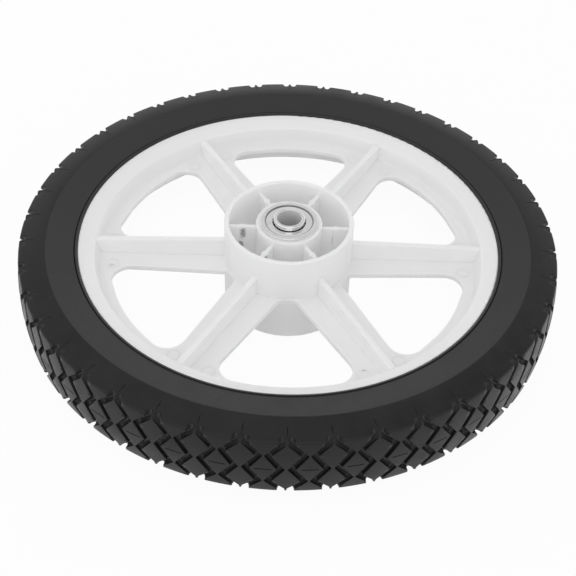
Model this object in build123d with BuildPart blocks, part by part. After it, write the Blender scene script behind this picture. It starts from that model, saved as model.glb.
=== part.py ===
from build123d import *
from math import asin, degrees, pi, radians, cos, sin
import os

# Wheelbarrow wheel: a rubber tyre on a spoked plastic moulding that turns on two flanged ball bearings.
# Millimetres. The wheel lies flat: its axle is the Z axis and the origin is the middle of the hub.

# Rim of the moulding, from the flange edge inwards
rim_flange_radius = 138.25
rim_width = 36.8
rim_flange_land = 2.8
rim_channel_depth = 6.25
rim_channel_width = 22.0
rim_lip_inset = 10.3
rim_lip_drop = 5.3
rim_wall_lean = 2.5
rim_edge_fillet = 0.6
rim_lip_fillet = 2.0
rim_foot_fillet = 4.0
rim_root_reach = 5.6

# Web, windows and spokes
web_thickness = 4.0
web_ring_width = 7.0
spoke_count = 6
spoke_root_width = 34.0
spoke_tip_width = 27.4
window_hub_gap = 0.6
window_outer_fillet = 18.8
window_inner_fillet = 4.5
window_edge_fillet = 0.8
spoke_rib_thickness = 4.0
spoke_rib_root_height = 18.3
spoke_rib_fillet = 0.8

# Hub tube, bearing boss and the ribs between them
hub_radius = 42.6
hub_wall = 3.2
hub_length = 65.0
hub_mouth_fillet = 0.8
boss_radius = 21.7
boss_recess = 1.5
boss_shoulder = 2.4
hub_rib_thickness = 2.5
hub_rib_recess = 0.8
hub_rib_fillet = 0.6
ejector_post_radius = 2.1
ejector_post_place = 30.5

# Tyre, from the rim flange outwards
sidewall_band = 18.8
shoulder_band = 18.45
tread_crown = 2.3
tyre_width = 46.0
tread_width = 43.2
bead_ridge_width = 1.7
bead_ridge_height = 0.6
bead_groove_width = 0.9
bead_groove_depth = 0.7
tyre_corner_fillet = 0.6
tread_edge_fillet = 0.9

# Tread of diamonds, between pairs of zigzag grooves
tread_pitches = 42
tread_phase = 4.66
groove_width = 4.0
groove_depth = 3.0
tie_width = 1.6
diamond_corner = 11.2
diamond_end = 19.4
sipe_length = 10.5
sipe_width = 0.8
sipe_depth = 1.2
shoulder_slit_length = 11.0
shoulder_slit_width = 0.8
shoulder_slit_depth = 1.0

# Flanged ball bearings
axle_diameter = 15.875
bearing_diameter = 34.925
bearing_body_length = 9.5
bearing_flange_diameter = 37.8
bearing_flange_thickness = 1.5
inner_ring_diameter = 20.8
inner_ring_proud = 2.6
outer_ring_bore = 29.2
ring_fillet = 0.9
flange_fillet = 0.5
ball_diameter = 6.35
ball_count = 11
ball_clearance = 0.1
shield_diameter = 31.2
shield_thickness = 0.7
shield_recess = 0.8
shield_gap = 0.7
spacer_wall = 2.2

# Radii and heights that follow from the sizes above
rim_half = rim_width / 2
channel_radius = rim_flange_radius - rim_channel_depth
channel_half = rim_channel_width / 2
lip_radius = rim_flange_radius - rim_lip_inset
lip_height = rim_half - rim_lip_drop
wall_foot_radius = lip_radius - rim_wall_lean
window_radius = wall_foot_radius - web_ring_width
web_half = web_thickness / 2
hub_half = hub_length / 2
window_root_radius = hub_radius + window_hub_gap
half_step = 180 / spoke_count

corner_radius = rim_flange_radius + sidewall_band
tread_edge_radius = corner_radius + shoulder_band
tyre_radius = tread_edge_radius + tread_crown
tyre_half = tyre_width / 2
tread_half = tread_width / 2

seat_radius = bearing_diameter / 2
seat_height = hub_half - boss_recess
seat_bottom = seat_height - bearing_body_length
flange_height = seat_height + bearing_flange_thickness
axle_radius = axle_diameter / 2
pitch_radius = (axle_radius + seat_radius) / 2
ball_height = seat_height - bearing_body_length / 2
race_radius = ball_diameter / 2 + ball_clearance
shield_bottom = flange_height - shield_recess - shield_thickness


def polar(radius, angle):
    """A point in the plane of the wheel from its radius and its angle in degrees."""
    return (radius * cos(radians(angle)), radius * sin(radians(angle)))


# One window between two spokes, with its middle on the X axis
root_angle = half_step - degrees(asin(spoke_root_width / 2 / window_root_radius))
tip_angle = half_step - degrees(asin(spoke_tip_width / 2 / window_radius))
with BuildSketch() as window:
    with BuildLine():
        ThreePointArc(
            polar(window_radius, -tip_angle), polar(window_radius, 0), polar(window_radius, tip_angle)
        )
        Line(polar(window_radius, tip_angle), polar(window_root_radius, root_angle))
        ThreePointArc(
            polar(window_root_radius, root_angle),
            polar(window_root_radius, 0),
            polar(window_root_radius, -root_angle),
        )
        Line(polar(window_root_radius, -root_angle), polar(window_radius, -tip_angle))
    make_face()
    fillet(window.vertices().group_by(Axis.X)[-1], window_outer_fillet)
    fillet(window.vertices().group_by(Axis.X)[0], window_inner_fillet)

# Upright rib of a spoke, above and below the web, sunk into the hub tube and the rim wall
with BuildPart() as spoke_rib:
    with BuildSketch(Plane.XZ):
        with BuildLine():
            Polyline(
                (hub_radius - hub_wall / 2, -spoke_rib_root_height),
                (lip_radius, -lip_height),
                (lip_radius, lip_height),
                (hub_radius - hub_wall / 2, spoke_rib_root_height),
                close=True,
            )
        make_face()
    extrude(amount=spoke_rib_thickness / 2, both=True)
    fillet(spoke_rib.edges().group_by(SortBy.LENGTH)[-1], spoke_rib_fillet)

# Upright rib between the boss and the hub tube, with its ejector post
hub_rib_half = hub_half - hub_rib_recess
boss_middle = (boss_radius + seat_radius) / 2
hub_wall_middle = hub_radius - hub_wall / 2
with BuildPart() as hub_rib:
    with Locations(((boss_middle + hub_wall_middle) / 2, 0, 0)):
        Box(hub_wall_middle - boss_middle, hub_rib_thickness, 2 * hub_rib_half)
    fillet(hub_rib.faces().sort_by(Axis.Z)[-1].edges().filter_by(Axis.X), hub_rib_fillet)
    fillet(hub_rib.faces().sort_by(Axis.Z)[0].edges().filter_by(Axis.X), hub_rib_fillet)
    with Locations((ejector_post_place, 0, 0)):
        Cylinder(ejector_post_radius, 2 * hub_rib_half)

# Flat web with its windows, which have rounded edges
with BuildPart() as web:
    with BuildSketch():
        Circle(wall_foot_radius)
        with PolarLocations(0, spoke_count, start_angle=half_step):
            add(window.sketch, mode=Mode.SUBTRACT)
    extrude(amount=web_half, both=True)
    fillet(web.edges().filter_by(Plane.XY).filter_by(GeomType.CIRCLE, reverse=True), window_edge_fillet)
    with BuildSketch(Plane.XY.offset(-web_half)):
        Circle(seat_radius - boss_shoulder)
    extrude(amount=web_thickness, mode=Mode.SUBTRACT)

# White plastic moulding: rim, web, spokes, hub tube and boss in one piece
with BuildPart() as spoked_wheel:
    add(web.part)
    with BuildSketch(Plane.XZ) as rim_section:
        with BuildLine():
            Polyline(
                (channel_radius, 0),
                (channel_radius, channel_half),
                (rim_flange_radius, rim_half - rim_flange_land),
                (rim_flange_radius, rim_half),
                (lip_radius, lip_height),
                (wall_foot_radius, web_half),
                (wall_foot_radius - rim_root_reach, web_half),
                (wall_foot_radius - rim_root_reach, 0),
                close=True,
            )
        make_face()
        fillet(rim_section.vertices().sort_by_distance((lip_radius, lip_height))[0], rim_lip_fillet)
        fillet(rim_section.vertices().sort_by_distance((wall_foot_radius, web_half))[0], rim_foot_fillet)
        fillet(rim_section.vertices().sort_by_distance((rim_flange_radius, rim_half))[0], rim_edge_fillet)
        mirror(about=Plane.XZ)
    revolve(axis=Axis.Z)
    with BuildSketch(Plane.XZ) as hub_section:
        with Locations((hub_radius - hub_wall / 2, 0)):
            Rectangle(hub_wall, hub_length)
        fillet(hub_section.vertices(), hub_mouth_fillet)
    revolve(axis=Axis.Z)
    with BuildSketch(Plane.XZ) as boss_section:
        with BuildLine():
            Polyline(
                (seat_radius - boss_shoulder, 0),
                (seat_radius - boss_shoulder, seat_bottom),
                (seat_radius, seat_bottom),
                (seat_radius, seat_height),
                (boss_radius, seat_height),
                (boss_radius, 0),
                close=True,
            )
        make_face()
        fillet(boss_section.vertices().sort_by_distance((boss_radius, seat_height))[0], hub_mouth_fillet)
        mirror(about=Plane.XZ)
    revolve(axis=Axis.Z)
    with PolarLocations(0, spoke_count):
        add(spoke_rib.part)
        add(hub_rib.part)

# One pair of zigzag grooves, either side of a column of diamonds that has its middle on the X axis
pitch_length = 2 * pi * tyre_radius / tread_pitches
near_turn = (tie_width + groove_width) / 2
far_turn = (pitch_length - tie_width - groove_width) / 2
groove_line = [
    (near_turn, -tyre_half),
    (near_turn, -diamond_end),
    (far_turn, -diamond_corner),
    (near_turn, 0),
    (far_turn, diamond_corner),
    (near_turn, diamond_end),
    (near_turn, tyre_half),
]
groove_base_radius = tread_edge_radius - 2 * groove_depth
with BuildPart() as groove_pair:
    with BuildSketch(Plane(origin=(groove_base_radius, 0, 0), x_dir=(0, 1, 0), z_dir=(1, 0, 0))):
        with BuildLine():
            Polyline(
                *[(across - groove_width / 2, along) for across, along in groove_line],
                *[(across + groove_width / 2, along) for across, along in reversed(groove_line)],
                close=True,
            )
        make_face()
        mirror(about=Plane.YZ)
    extrude(amount=tyre_radius - groove_base_radius + groove_depth)
    with BuildSketch(Plane.XZ) as above_floor:
        with BuildLine():
            TangentArc(
                (tyre_radius - groove_depth, 0),
                (tread_edge_radius - groove_depth, tread_half),
                tangent=(0, 1),
            )
            Polyline(
                (tread_edge_radius - groove_depth, tread_half),
                (tread_edge_radius - groove_depth, tyre_width),
                (tyre_radius + 2 * groove_depth, tyre_width),
                (tyre_radius + 2 * groove_depth, 0),
                (tyre_radius - groove_depth, 0),
            )
        make_face()
        mirror(about=Plane.XZ)
    revolve(axis=Axis.Z, mode=Mode.INTERSECT)

# Thin slit round the middle of a diamond of the centre row
with BuildPart() as sipe:
    with Locations((tyre_radius, 0, 0)):
        Box(2 * sipe_depth, sipe_length, sipe_width)

# Slits in both shoulders below the end of a column of diamonds, running out towards the corner of the tyre
shoulder_fall = (tyre_half - tread_half) / shoulder_band
slit_top_radius = tread_edge_radius - groove_depth
with BuildPart() as shoulder_slits:
    with BuildSketch(Plane.XZ):
        with BuildLine():
            Polyline(
                (tread_edge_radius - shoulder_slit_length, tread_half + shoulder_fall * shoulder_slit_length),
                (slit_top_radius, tyre_width),
                (slit_top_radius, tread_half - shoulder_slit_depth),
                close=True,
            )
        make_face()
        mirror(about=Plane.XZ)
    extrude(amount=shoulder_slit_width / 2, both=True)

# Black rubber tyre, seated in the rim channel
bead_top = rim_half + bead_ridge_height
groove_inner = rim_flange_radius + bead_ridge_width
sidewall_rise = (tyre_half - rim_half) / sidewall_band
with BuildPart() as tyre:
    with BuildSketch(Plane.XZ) as tyre_section:
        with BuildLine():
            Polyline(
                (tyre_radius, 0),
                (channel_radius, 0),
                (channel_radius, channel_half),
                (rim_flange_radius, rim_half - rim_flange_land),
                (rim_flange_radius, rim_half),
                (rim_flange_radius + bead_ridge_height, bead_top),
                (groove_inner, bead_top + bead_ridge_height / 2),
                (groove_inner + bead_groove_width / 2, rim_half - bead_groove_depth / 2),
                (
                    groove_inner + bead_groove_width,
                    rim_half + sidewall_rise * (bead_ridge_width + bead_groove_width),
                ),
                (corner_radius, tyre_half),
                (tread_edge_radius, tread_half),
            )
            TangentArc((tyre_radius, 0), (tread_edge_radius, tread_half), tangent=(0, 1))
        make_face()
        fillet(tyre_section.vertices().sort_by_distance((corner_radius, tyre_half))[0], tyre_corner_fillet)
        fillet(tyre_section.vertices().sort_by_distance((tread_edge_radius, tread_half))[0], tread_edge_fillet)
        mirror(about=Plane.XZ)
    revolve(axis=Axis.Z)
    with PolarLocations(0, tread_pitches, start_angle=tread_phase):
        add(groove_pair.part, mode=Mode.SUBTRACT)
        add(shoulder_slits.part, mode=Mode.SUBTRACT)
    with PolarLocations(0, tread_pitches, start_angle=tread_phase + 180 / tread_pitches):
        add(sipe.part, mode=Mode.SUBTRACT)

# Outer ring of the upper bearing: a flanged body pressed into the boss, with its ball race
with BuildPart() as upper_outer_ring:
    with BuildSketch(Plane.XZ) as outer_ring_section:
        with BuildLine():
            Polyline(
                (outer_ring_bore / 2, seat_bottom),
                (seat_radius, seat_bottom),
                (seat_radius, seat_height),
                (bearing_flange_diameter / 2, seat_height),
                (bearing_flange_diameter / 2, flange_height),
                (shield_diameter / 2, flange_height),
                (shield_diameter / 2, shield_bottom),
                (outer_ring_bore / 2, shield_bottom),
                close=True,
            )
        make_face()
        fillet(
            outer_ring_section.vertices().sort_by_distance((bearing_flange_diameter / 2, flange_height))[0],
            flange_fillet,
        )
        fillet(
            outer_ring_section.vertices().sort_by_distance((shield_diameter / 2, flange_height))[0],
            flange_fillet,
        )
        with Locations((pitch_radius, ball_height)):
            Circle(race_radius, mode=Mode.SUBTRACT)
    revolve(axis=Axis.Z)

# Inner ring of the upper bearing, proud of the flange, with its ball race
inner_ring_top = flange_height + inner_ring_proud
with BuildPart() as upper_inner_ring:
    with BuildSketch(Plane.XZ) as inner_ring_section:
        with BuildLine():
            Polyline(
                (axle_radius, seat_bottom),
                (inner_ring_diameter / 2, seat_bottom),
                (inner_ring_diameter / 2, inner_ring_top),
                (axle_radius, inner_ring_top),
                close=True,
            )
        make_face()
        fillet(inner_ring_section.vertices().group_by(Axis.Y)[-1], ring_fillet)
        with Locations((pitch_radius, ball_height)):
            Circle(race_radius, mode=Mode.SUBTRACT)
    revolve(axis=Axis.Z)

# Loose balls of the upper bearing
with BuildPart() as upper_balls:
    with Locations((0, 0, ball_height)):
        with PolarLocations(pitch_radius, ball_count):
            Sphere(ball_diameter / 2)

# Shield of the upper bearing, a flat ring that lies in the outer ring's step
with BuildPart() as upper_shield:
    with BuildSketch(Plane.XY.offset(shield_bottom)):
        Circle(shield_diameter / 2)
        Circle(inner_ring_diameter / 2 + shield_gap, mode=Mode.SUBTRACT)
    extrude(amount=shield_thickness)

# The lower bearing is the upper one turned over
with BuildPart() as lower_outer_ring:
    mirror(upper_outer_ring.part, about=Plane.XY)
with BuildPart() as lower_inner_ring:
    mirror(upper_inner_ring.part, about=Plane.XY)
with BuildPart() as lower_balls:
    mirror(upper_balls.part, about=Plane.XY)
with BuildPart() as lower_shield:
    mirror(upper_shield.part, about=Plane.XY)

# Spacer tube between the two inner rings
with BuildPart() as spacer_tube:
    with BuildSketch(Plane.XY.offset(-seat_bottom)):
        Circle(axle_radius + spacer_wall)
        Circle(axle_radius, mode=Mode.SUBTRACT)
    extrude(amount=2 * seat_bottom)

nodes = {
    "tyre": tyre,
    "spoked_wheel": spoked_wheel,
    "upper_outer_ring": upper_outer_ring,
    "upper_inner_ring": upper_inner_ring,
    "upper_balls": upper_balls,
    "upper_shield": upper_shield,
    "lower_outer_ring": lower_outer_ring,
    "lower_inner_ring": lower_inner_ring,
    "lower_balls": lower_balls,
    "lower_shield": lower_shield,
    "spacer_tube": spacer_tube,
}
os.makedirs("parts", exist_ok=True)
for node_name, piece in nodes.items():
    piece.part.label = node_name
    export_step(piece.part, f"parts/{node_name}.step")
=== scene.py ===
"""Looks of a wheelbarrow wheel: a black tyre on a white spoked moulding with flanged ball bearings.

Metres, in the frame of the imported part: the axle is the Z axis and the middle of the hub is the origin.
"""

import logging
import math
from collections.abc import Mapping, Sequence
from dataclasses import dataclass, field
from enum import Enum

import bmesh
import bpy
from mathutils import Matrix, Vector

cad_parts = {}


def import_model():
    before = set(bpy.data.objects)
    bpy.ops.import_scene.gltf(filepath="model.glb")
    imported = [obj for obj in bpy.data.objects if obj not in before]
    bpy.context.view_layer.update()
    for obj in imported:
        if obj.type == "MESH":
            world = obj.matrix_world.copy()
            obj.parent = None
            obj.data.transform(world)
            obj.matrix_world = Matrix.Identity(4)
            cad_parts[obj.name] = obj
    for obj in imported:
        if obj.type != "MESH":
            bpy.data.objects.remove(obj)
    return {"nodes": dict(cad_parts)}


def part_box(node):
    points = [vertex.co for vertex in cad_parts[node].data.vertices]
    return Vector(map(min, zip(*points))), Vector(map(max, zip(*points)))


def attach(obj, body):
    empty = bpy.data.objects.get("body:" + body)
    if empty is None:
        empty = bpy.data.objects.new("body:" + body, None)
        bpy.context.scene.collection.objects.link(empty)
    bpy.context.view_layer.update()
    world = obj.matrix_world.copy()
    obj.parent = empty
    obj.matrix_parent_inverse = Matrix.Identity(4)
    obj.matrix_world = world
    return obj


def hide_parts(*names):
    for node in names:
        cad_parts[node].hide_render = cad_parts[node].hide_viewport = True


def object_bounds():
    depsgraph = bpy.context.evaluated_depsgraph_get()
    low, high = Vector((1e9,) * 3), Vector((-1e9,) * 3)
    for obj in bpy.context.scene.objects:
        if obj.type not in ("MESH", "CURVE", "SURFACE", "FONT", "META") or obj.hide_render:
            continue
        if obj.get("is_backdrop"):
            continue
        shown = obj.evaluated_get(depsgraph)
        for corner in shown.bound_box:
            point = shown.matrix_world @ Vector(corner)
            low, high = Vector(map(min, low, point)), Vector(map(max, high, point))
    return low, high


LOG = logging.getLogger("wheel")
MM = 0.001
FULL_TURN = 2 * math.pi

Point = tuple[float, float, float]


class Body(Enum):
    """Body of the frame that the scene's own pieces ride on."""

    WHEEL = "wheel"


class Slot(Enum):
    """Material slots of the record, which also name the finishes."""

    TYRE = "tyre_rubber"
    MOULDING = "white_plastic"
    PLATED = "plated_steel"
    BALLS = "ball_steel"
    PLAIN = "plain_steel"


class Face(Enum):
    """The two faces of the wheel, by the sign of their height."""

    UPPER = 1
    LOWER = -1


def grey(level: float) -> tuple[float, float, float, float]:
    """A neutral colour of one linear level."""
    return (level, level, level, 1.0)


@dataclass
class Graph:
    """A node tree with short ways to add nodes and wire them.

    Args:
        tree: The shader or geometry tree that is filled.
    """

    tree: bpy.types.NodeTree

    def add(
        self, kind: str, feeds: Mapping[int | str, object] | None = None, **settings: object
    ) -> bpy.types.Node:
        """Adds one node.

        Args:
            kind: The type of node.
            feeds: For an input's name or place, the socket that feeds it or its plain value.
            settings: The node's own properties.

        Returns:
            The new node.
        """
        node = self.tree.nodes.new(kind)
        for name, value in settings.items():
            setattr(node, name, value)
        for key, value in (feeds or {}).items():
            if isinstance(value, bpy.types.NodeSocket):
                self.tree.links.new(value, node.inputs[key])
            else:
                node.inputs[key].default_value = value
        return node

    def maths(self, operation: str, *values: object) -> bpy.types.NodeSocket:
        """Works out one number.

        Args:
            operation: The sum that the node does.
            values: Sockets or plain numbers, in the order of the inputs.

        Returns:
            The socket of the result.
        """
        return self.add("ShaderNodeMath", dict(enumerate(values)), operation=operation).outputs[0]

    def vectors(self, operation: str, *values: object) -> bpy.types.Node:
        """Adds the node for one sum of vectors."""
        return self.add("ShaderNodeVectorMath", dict(enumerate(values)), operation=operation)

    def axle_distance(self, place: bpy.types.NodeSocket) -> bpy.types.NodeSocket:
        """Works out how far a place lies from the axle."""
        flat = self.vectors("MULTIPLY", place, (1.0, 1.0, 0.0))
        return self.vectors("LENGTH", flat.outputs[0]).outputs["Value"]

    def noise(
        self,
        place: bpy.types.NodeSocket,
        scale: bpy.types.NodeSocket,
        detail: float,
        roughness: float = 0.5,
    ) -> bpy.types.NodeSocket:
        """Adds soft noise in space.

        Args:
            place: The coordinates that it reads.
            scale: Its fineness.
            detail: How many finer layers it has.
            roughness: How strong the finer layers are.

        Returns:
            The socket of its height.
        """
        feeds = {"Vector": place, "Scale": scale, "Detail": detail, "Roughness": roughness}
        return self.add("ShaderNodeTexNoise", feeds).outputs[0]

    def opening(self, name: str, kind: str, default: object = None) -> None:
        """Adds a named input to the tree.

        Args:
            name: The input's name.
            kind: Its type of socket.
            default: Its value where nothing feeds it.
        """
        socket = self.tree.interface.new_socket(name=name, in_out="INPUT", socket_type=kind)
        if default is not None:
            socket.default_value = default

    def outcome(self, name: str, kind: str) -> None:
        """Adds a named output to the tree."""
        self.tree.interface.new_socket(name=name, in_out="OUTPUT", socket_type=kind)


def shader_group(name: str, output: str, **inputs: object) -> tuple[Graph, bpy.types.Node]:
    """Starts a shader group that reads a Place and gives one number.

    Args:
        name: The group's name.
        output: Its output.
        inputs: The value of each further input where nothing feeds it, a number or a vector.

    Returns:
        The group's graph, and the node that gives its inputs.
    """
    graph = Graph(bpy.data.node_groups.new(name, "ShaderNodeTree"))
    graph.opening("Place", "NodeSocketVector")
    for key, default in inputs.items():
        kind = "NodeSocketVector" if isinstance(default, tuple) else "NodeSocketFloat"
        graph.opening(key, kind, default)
    graph.outcome(output, "NodeSocketFloat")
    return graph, graph.add("NodeGroupInput")


def fine_grain() -> bpy.types.NodeTree:
    """Builds the group for the small grain that a moulded or polished surface keeps.

    Returns:
        A group from Place and Scale to Height.
    """
    graph, given = shader_group("fine_grain", "Height", Scale=900.0)
    height = graph.noise(given.outputs["Place"], given.outputs["Scale"], detail=3.0, roughness=0.6)
    graph.add("NodeGroupOutput", {"Height": height})
    return graph.tree


def blotches() -> bpy.types.NodeTree:
    """Builds the group for broad soft patches of handling and dust.

    Returns:
        A group from Place, Scale, Low and High to Mask.
    """
    graph, given = shader_group("blotches", "Mask", Scale=20.0, Low=0.4, High=0.7)
    cloud = graph.noise(given.outputs["Place"], given.outputs["Scale"], detail=5.0, roughness=0.62)
    ramp = graph.add(
        "ShaderNodeMapRange",
        {"Value": cloud, "From Min": given.outputs["Low"], "From Max": given.outputs["High"]},
        interpolation_type="SMOOTHSTEP",
    )
    graph.add("NodeGroupOutput", {"Mask": ramp.outputs["Result"]})
    return graph.tree


def turned_rings() -> bpy.types.NodeTree:
    """Builds the group for fine circles round the axle, within a band of radii.

    Returns:
        A group from Place, Spacing, Inner and Outer to Height.
    """
    graph, given = shader_group("turned_rings", "Height", Spacing=0.6 * MM, Inner=0.0, Outer=1.0)
    radius = graph.axle_distance(given.outputs["Place"])
    turn = graph.maths("DIVIDE", radius, given.outputs["Spacing"])
    feeds = {"W": turn, "Scale": 1.0, "Detail": 2.0}
    line = graph.add("ShaderNodeTexNoise", feeds, noise_dimensions="1D")
    past_inner = graph.maths("GREATER_THAN", radius, given.outputs["Inner"])
    within_outer = graph.maths("LESS_THAN", radius, given.outputs["Outer"])
    band = graph.maths("MULTIPLY", past_inner, within_outer)
    graph.add("NodeGroupOutput", {"Height": graph.maths("MULTIPLY", line.outputs[0], band)})
    return graph.tree


def spot_mark() -> bpy.types.NodeTree:
    """Builds the group for one ragged mark at a place on a surface.

    Returns:
        A group from Place, Centre, Reach and Raggedness to Mask.
    """
    graph, given = shader_group(
        "spot_mark", "Mask", Centre=(0.0, 0.0, 0.0), Reach=(MM, MM, MM), Raggedness=900.0
    )
    offset = graph.vectors("SUBTRACT", given.outputs["Place"], given.outputs["Centre"])
    share = graph.vectors("DIVIDE", offset.outputs[0], given.outputs["Reach"])
    distance = graph.vectors("LENGTH", share.outputs[0]).outputs["Value"]
    ragged = graph.noise(given.outputs["Place"], given.outputs["Raggedness"], detail=2.0)
    edge = graph.maths("ADD", distance, ragged)
    feeds = {"Value": edge, "From Min": 1.35, "From Max": 0.75}
    ramp = graph.add("ShaderNodeMapRange", feeds, interpolation_type="SMOOTHSTEP")
    graph.add("NodeGroupOutput", {"Mask": ramp.outputs["Result"]})
    return graph.tree


def within_radius() -> bpy.types.NodeTree:
    """Builds the group that picks out what lies close round the axle and close to the middle plane.

    Returns:
        A group from Place, Radius and Height to Mask.
    """
    graph, given = shader_group("within_radius", "Mask", Radius=MM, Height=1.0)
    radius = graph.axle_distance(given.outputs["Place"])
    rise = graph.add("ShaderNodeSeparateXYZ", {0: given.outputs["Place"]}).outputs["Z"]
    close = graph.maths("LESS_THAN", radius, given.outputs["Radius"])
    level = graph.maths("LESS_THAN", graph.maths("ABSOLUTE", rise), given.outputs["Height"])
    graph.add("NodeGroupOutput", {"Mask": graph.maths("MULTIPLY", close, level)})
    return graph.tree


@dataclass
class Effects:
    """The shader groups that the finishes share, built once."""

    grain: bpy.types.NodeTree = field(default_factory=fine_grain)
    patches: bpy.types.NodeTree = field(default_factory=blotches)
    rings: bpy.types.NodeTree = field(default_factory=turned_rings)
    mark: bpy.types.NodeTree = field(default_factory=spot_mark)
    core: bpy.types.NodeTree = field(default_factory=within_radius)


@dataclass
class Surface:
    """One material while its nodes are laid out.

    Args:
        name: The material's name.
    """

    name: str
    material: bpy.types.Material = field(init=False)
    graph: Graph = field(init=False)
    shader: bpy.types.Node = field(init=False)
    place: bpy.types.NodeSocket = field(init=False)

    def __post_init__(self) -> None:
        """Starts the material with its shader and the coordinates that its patterns read."""
        self.material = bpy.data.materials.new(self.name)
        self.material.use_nodes = True
        self.graph = Graph(self.material.node_tree)
        self.graph.tree.nodes.clear()
        self.shader = self.graph.add("ShaderNodeBsdfPrincipled")
        self.graph.add("ShaderNodeOutputMaterial", {"Surface": self.shader.outputs[0]})
        self.place = self.graph.add("ShaderNodeTexCoord").outputs["Object"]

    def effect(self, group: bpy.types.NodeTree, output: str, **values: object) -> bpy.types.NodeSocket:
        """Places one shared effect on the surface.

        Args:
            group: The effect.
            output: The output that is wanted.
            values: The effect's own inputs.

        Returns:
            The socket of that output.
        """
        node = self.graph.add("ShaderNodeGroup", node_tree=group)
        self.graph.tree.links.new(self.place, node.inputs["Place"])
        for name, value in values.items():
            node.inputs[name].default_value = value
        return node.outputs[output]

    def feed(self, name: str, value: object) -> None:
        """Sets one input of the shader.

        Args:
            name: The input.
            value: A socket where it changes over the surface, or else a plain value.
        """
        if isinstance(value, bpy.types.NodeSocket):
            self.graph.tree.links.new(value, self.shader.inputs[name])
        else:
            self.shader.inputs[name].default_value = value

    def spread(self, mask: bpy.types.NodeSocket, low: float, high: float) -> bpy.types.NodeSocket:
        """Turns a mask into a number between two values."""
        feeds = {"Value": mask, "To Min": low, "To Max": high}
        return self.graph.add("ShaderNodeMapRange", feeds).outputs[0]

    def roughen(self, mask: bpy.types.NodeSocket, mean: float, spread: float) -> None:
        """Sets a roughness that a mask moves about its mean."""
        self.feed("Roughness", self.spread(mask, mean - spread, mean + spread))

    def tint(self, mask: bpy.types.NodeSocket, below: object, above: object) -> bpy.types.NodeSocket:
        """Mixes two colours.

        Args:
            mask: The share of the second colour.
            below: The colour where the mask is 0, or the socket that gives it.
            above: The colour where the mask is 1.

        Returns:
            The mixed colour.
        """
        colour_below, colour_above, mixed = 6, 7, 2
        feeds = {0: mask, colour_below: below, colour_above: above}
        return self.graph.add("ShaderNodeMix", feeds, data_type="RGBA").outputs[mixed]

    def relief(
        self, height: bpy.types.NodeSocket, depth: float, below: bpy.types.NodeSocket | None = None
    ) -> bpy.types.NodeSocket:
        """Raises a bump.

        Args:
            height: The height, from 0 to 1.
            depth: The height in metres that 1 stands for.
            below: The normal of a bump that this one lies on.

        Returns:
            The new normal.
        """
        bump = self.graph.add("ShaderNodeBump", {"Height": height, "Distance": depth, "Strength": 1.0})
        if below is not None:
            self.graph.tree.links.new(below, bump.inputs["Normal"])
        return bump.outputs["Normal"]


@dataclass(frozen=True)
class RubberFinish:
    """Black moulded rubber, a little dusty, with turned lines on its sidewalls."""

    black: float = 0.011
    dusty: float = 0.016
    lined: float = 0.032
    # lighter grey of the grooves, painted light that stands for their lit walls
    groove_painted_light: float = 0.04
    scuffed: float = 0.0085
    specular: float = 0.25
    roughness: float = 0.4
    roughness_spread: float = 0.08
    grain_depth: float = 0.06 * MM
    line_spacing: float = 0.5 * MM
    line_depth: float = 0.1 * MM
    dust_scale: float = 45.0
    dust_low: float = 0.38
    dust_high: float = 0.72
    grain_scale: float = 1400.0

    def material(
        self, effects: Effects, band: tuple[float, float], tread_radius: float, tread_half: float
    ) -> bpy.types.Material:
        """Lays out the rubber.

        Args:
            effects: The shared groups.
            band: Inner and outer radius of the lined sidewall.
            tread_radius: Radius past which the tread is worn clean.
            tread_half: Height of the tread's nearer edge, under which its grooves are painted lighter, a
                painted highlight that stands for their lit walls.

        Returns:
            The material.
        """
        surface = Surface(Slot.TYRE.value)
        dust = surface.effect(
            effects.patches, "Mask", Scale=self.dust_scale, Low=self.dust_low, High=self.dust_high
        )
        speckle = surface.effect(effects.grain, "Height", Scale=self.grain_scale)
        lines = surface.effect(
            effects.rings, "Height", Spacing=self.line_spacing, Inner=band[0], Outer=band[1]
        )
        sidewall = surface.effect(effects.core, "Mask", Radius=band[1])
        groove = surface.effect(effects.core, "Mask", Radius=tread_radius, Height=tread_half)
        below_tread = surface.effect(effects.core, "Mask", Radius=tread_radius)
        dusted = surface.tint(dust, grey(self.black), grey(self.dusty))
        # Painted light: the grooves are drawn lighter to stand for the light on their walls.
        filled = surface.tint(groove, dusted, grey(self.groove_painted_light))
        walled = surface.tint(sidewall, filled, grey(self.lined))
        surface.feed("Base Color", surface.tint(below_tread, grey(self.scuffed), walled))
        surface.roughen(dust, self.roughness, self.roughness_spread)
        surface.feed("Specular IOR Level", self.specular)
        grained = surface.relief(speckle, self.grain_depth)
        surface.feed("Normal", surface.relief(lines, self.line_depth, grained))
        return surface.material


@dataclass(frozen=True)
class DarkMark:
    """One dark mark on the moulding.

    Args:
        centre: Its middle.
        reach: Its half sizes.
        strength: How much of the dark grey it takes.
    """

    centre: Point
    reach: Point
    strength: float


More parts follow.
